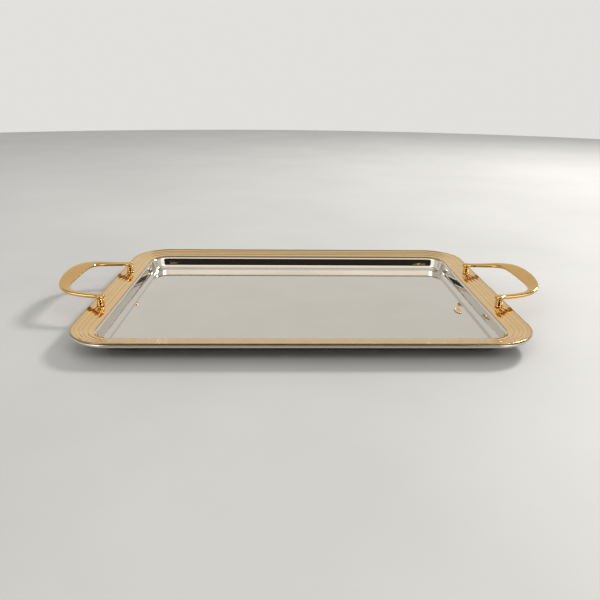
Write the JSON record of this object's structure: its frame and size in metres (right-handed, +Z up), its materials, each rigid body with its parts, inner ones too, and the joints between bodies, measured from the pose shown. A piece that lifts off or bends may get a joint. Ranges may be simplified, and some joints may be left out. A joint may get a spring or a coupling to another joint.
{
  "type": "serving tray",
  "caption": "Rectangular mirror-polished serving tray with a gold-plated reeded border and a raised gold bow handle at each end.",
  "frame": {"origin": "centre of the floor's underside, on the surface the tray stands on", "axes": "+X along the tray towards the right handle, +Y towards the rear long side, +Z up"},
  "size_m": [0.5384, 0.32, 0.0388],
  "materials": {
    "polished_steel": "mirror-polished stainless steel",
    "gold_border": "polished gold plate, pale",
    "gold_handle": "polished gold plate, warm",
    "zinc_hardware": "bright zinc plate"
  },
  "bodies": {
    "root": {"tray_pan": "polished_steel", "border_frame": "gold_border", "handle_strap_left": "gold_handle", "handle_strap_right": "gold_handle", "handle_post_left_front": "gold_handle", "handle_post_left_rear": "gold_handle", "handle_post_right_front": "gold_handle", "handle_post_right_rear": "gold_handle", "taper_washer_left_front": "zinc_hardware", "taper_washer_left_rear": "zinc_hardware", "taper_washer_right_front": "zinc_hardware", "taper_washer_right_rear": "zinc_hardware", "handle_screw_left_front": "zinc_hardware", "handle_screw_left_rear": "zinc_hardware", "handle_screw_right_front": "zinc_hardware", "handle_screw_right_rear": "zinc_hardware", "floor_badge": "gold_border"}
  },
  "joints": []
}
